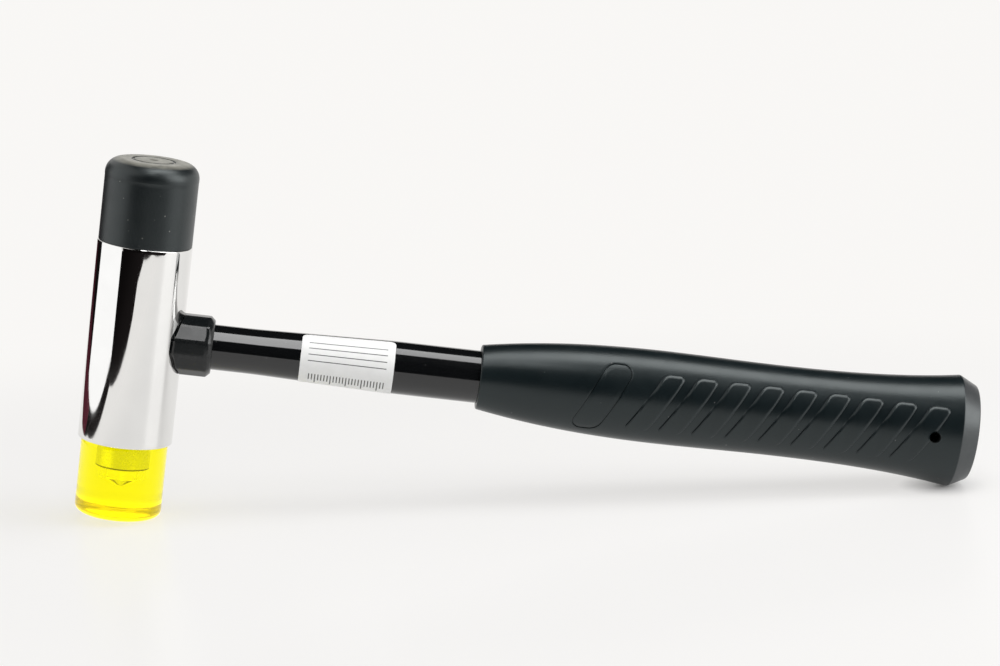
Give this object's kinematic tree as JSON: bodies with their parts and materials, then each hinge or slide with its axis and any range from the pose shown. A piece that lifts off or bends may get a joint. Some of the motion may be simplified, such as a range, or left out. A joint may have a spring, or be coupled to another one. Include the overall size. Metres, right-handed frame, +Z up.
{
  "type": "soft face hammer",
  "caption": "Soft face hammer with a chromed barrel, screw-on black rubber and clear yellow plastic faces, a black tubular steel handle and a padded rubber grip.",
  "frame": {"origin": "on the floor under the middle of the hammer as it rests on its yellow face's edge and its pommel", "axes": "+X from the head towards the pommel, +Z up, so the handle dips towards +X and the head leans with it"},
  "size_m": [0.3108, 0.0334, 0.1242],
  "materials": {
    "chrome_steel": "bright chrome plate over steel",
    "satin_black_steel": "satin black",
    "gloss_black_paint": "glossy black paint over steel",
    "stud_steel": "plain machined steel",
    "plug_plastic": "plain moulding",
    "grip_rubber": "satin black moulded rubber",
    "face_rubber": "semi-gloss black moulded rubber",
    "clear_yellow": "clear yellow polished plastic",
    "white_paper": "blank printed-paper label"
  },
  "bodies": {
    "hammer": {"head_body": "chrome_steel", "handle_collar": "satin_black_steel", "handle_tube": "gloss_black_paint", "tube_core_plug": "stud_steel", "tube_end_plug": "plug_plastic", "grip": "grip_rubber", "label": "white_paper"},
    "black_stud": {"black_face_stud": "stud_steel"},
    "black_tip": {"black_face": "face_rubber", "black_face_core": "stud_steel"},
    "yellow_stud": {"yellow_face_stud": "stud_steel"},
    "yellow_tip": {"yellow_face": "clear_yellow"}
  },
  "joints": [
    {"name": "black_stud_advance", "type": "slide", "parent": "hammer", "child": "black_stud", "axis": [0.152, 0, 0.9884], "range_m": [0, 0.01225]},
    {"name": "black_face_turn", "type": "hinge", "parent": "black_stud", "child": "black_tip", "pos_m": [-0.12692, 0, 0.09479], "axis": [0.152, 0, 0.9884], "range_deg": [0, 2520]},
    {"name": "yellow_stud_advance", "type": "slide", "parent": "hammer", "child": "yellow_stud", "axis": [-0.152, 0, -0.9884], "range_m": [0, 0.01225]},
    {"name": "yellow_face_turn", "type": "hinge", "parent": "yellow_stud", "child": "yellow_tip", "pos_m": [-0.13725, 0, 0.02758], "axis": [-0.152, 0, -0.9884], "range_deg": [0, 2520]}
  ],
  "couplings": [
    {"joint": "black_stud_advance", "follows": "black_face_turn", "m_per_rad": 0.00027852},
    {"joint": "yellow_stud_advance", "follows": "yellow_face_turn", "m_per_rad": 0.00027852}
  ]
}
